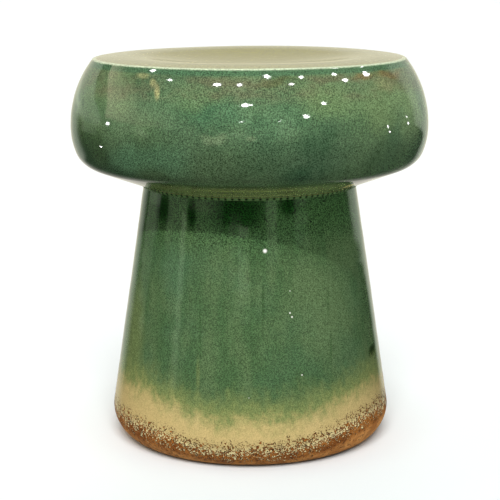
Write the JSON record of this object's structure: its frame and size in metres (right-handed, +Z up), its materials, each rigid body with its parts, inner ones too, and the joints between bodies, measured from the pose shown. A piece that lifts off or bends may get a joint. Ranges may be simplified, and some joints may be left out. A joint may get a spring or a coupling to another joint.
{
  "type": "ceramic garden stool",
  "caption": "Glazed stoneware garden stool: a round dished seat with a bulging side on a hollow, flared pedestal with a bare clay foot.",
  "frame": {"origin": "on the floor, on the stool's axis", "axes": "+Z up along the stool's axis. X and Y are level, and each points between two floor pads."},
  "size_m": [0.3959, 0.396, 0.43],
  "materials": {
    "seat_glaze": "gloss",
    "pedestal_glaze": "gloss",
    "raw_clay": "matte",
    "pad_rubber": "matte"
  },
  "bodies": {
    "root": {"seat_disc": "seat_glaze", "seat_bowl": "seat_glaze", "neck_bead": "seat_glaze", "rim_coil": "raw_clay", "neck_coil": "raw_clay", "foot_ring": "raw_clay", "pedestal": "pedestal_glaze", "floor_pad_1": "pad_rubber", "floor_pad_2": "pad_rubber", "floor_pad_3": "pad_rubber", "floor_pad_4": "pad_rubber"}
  },
  "joints": []
}
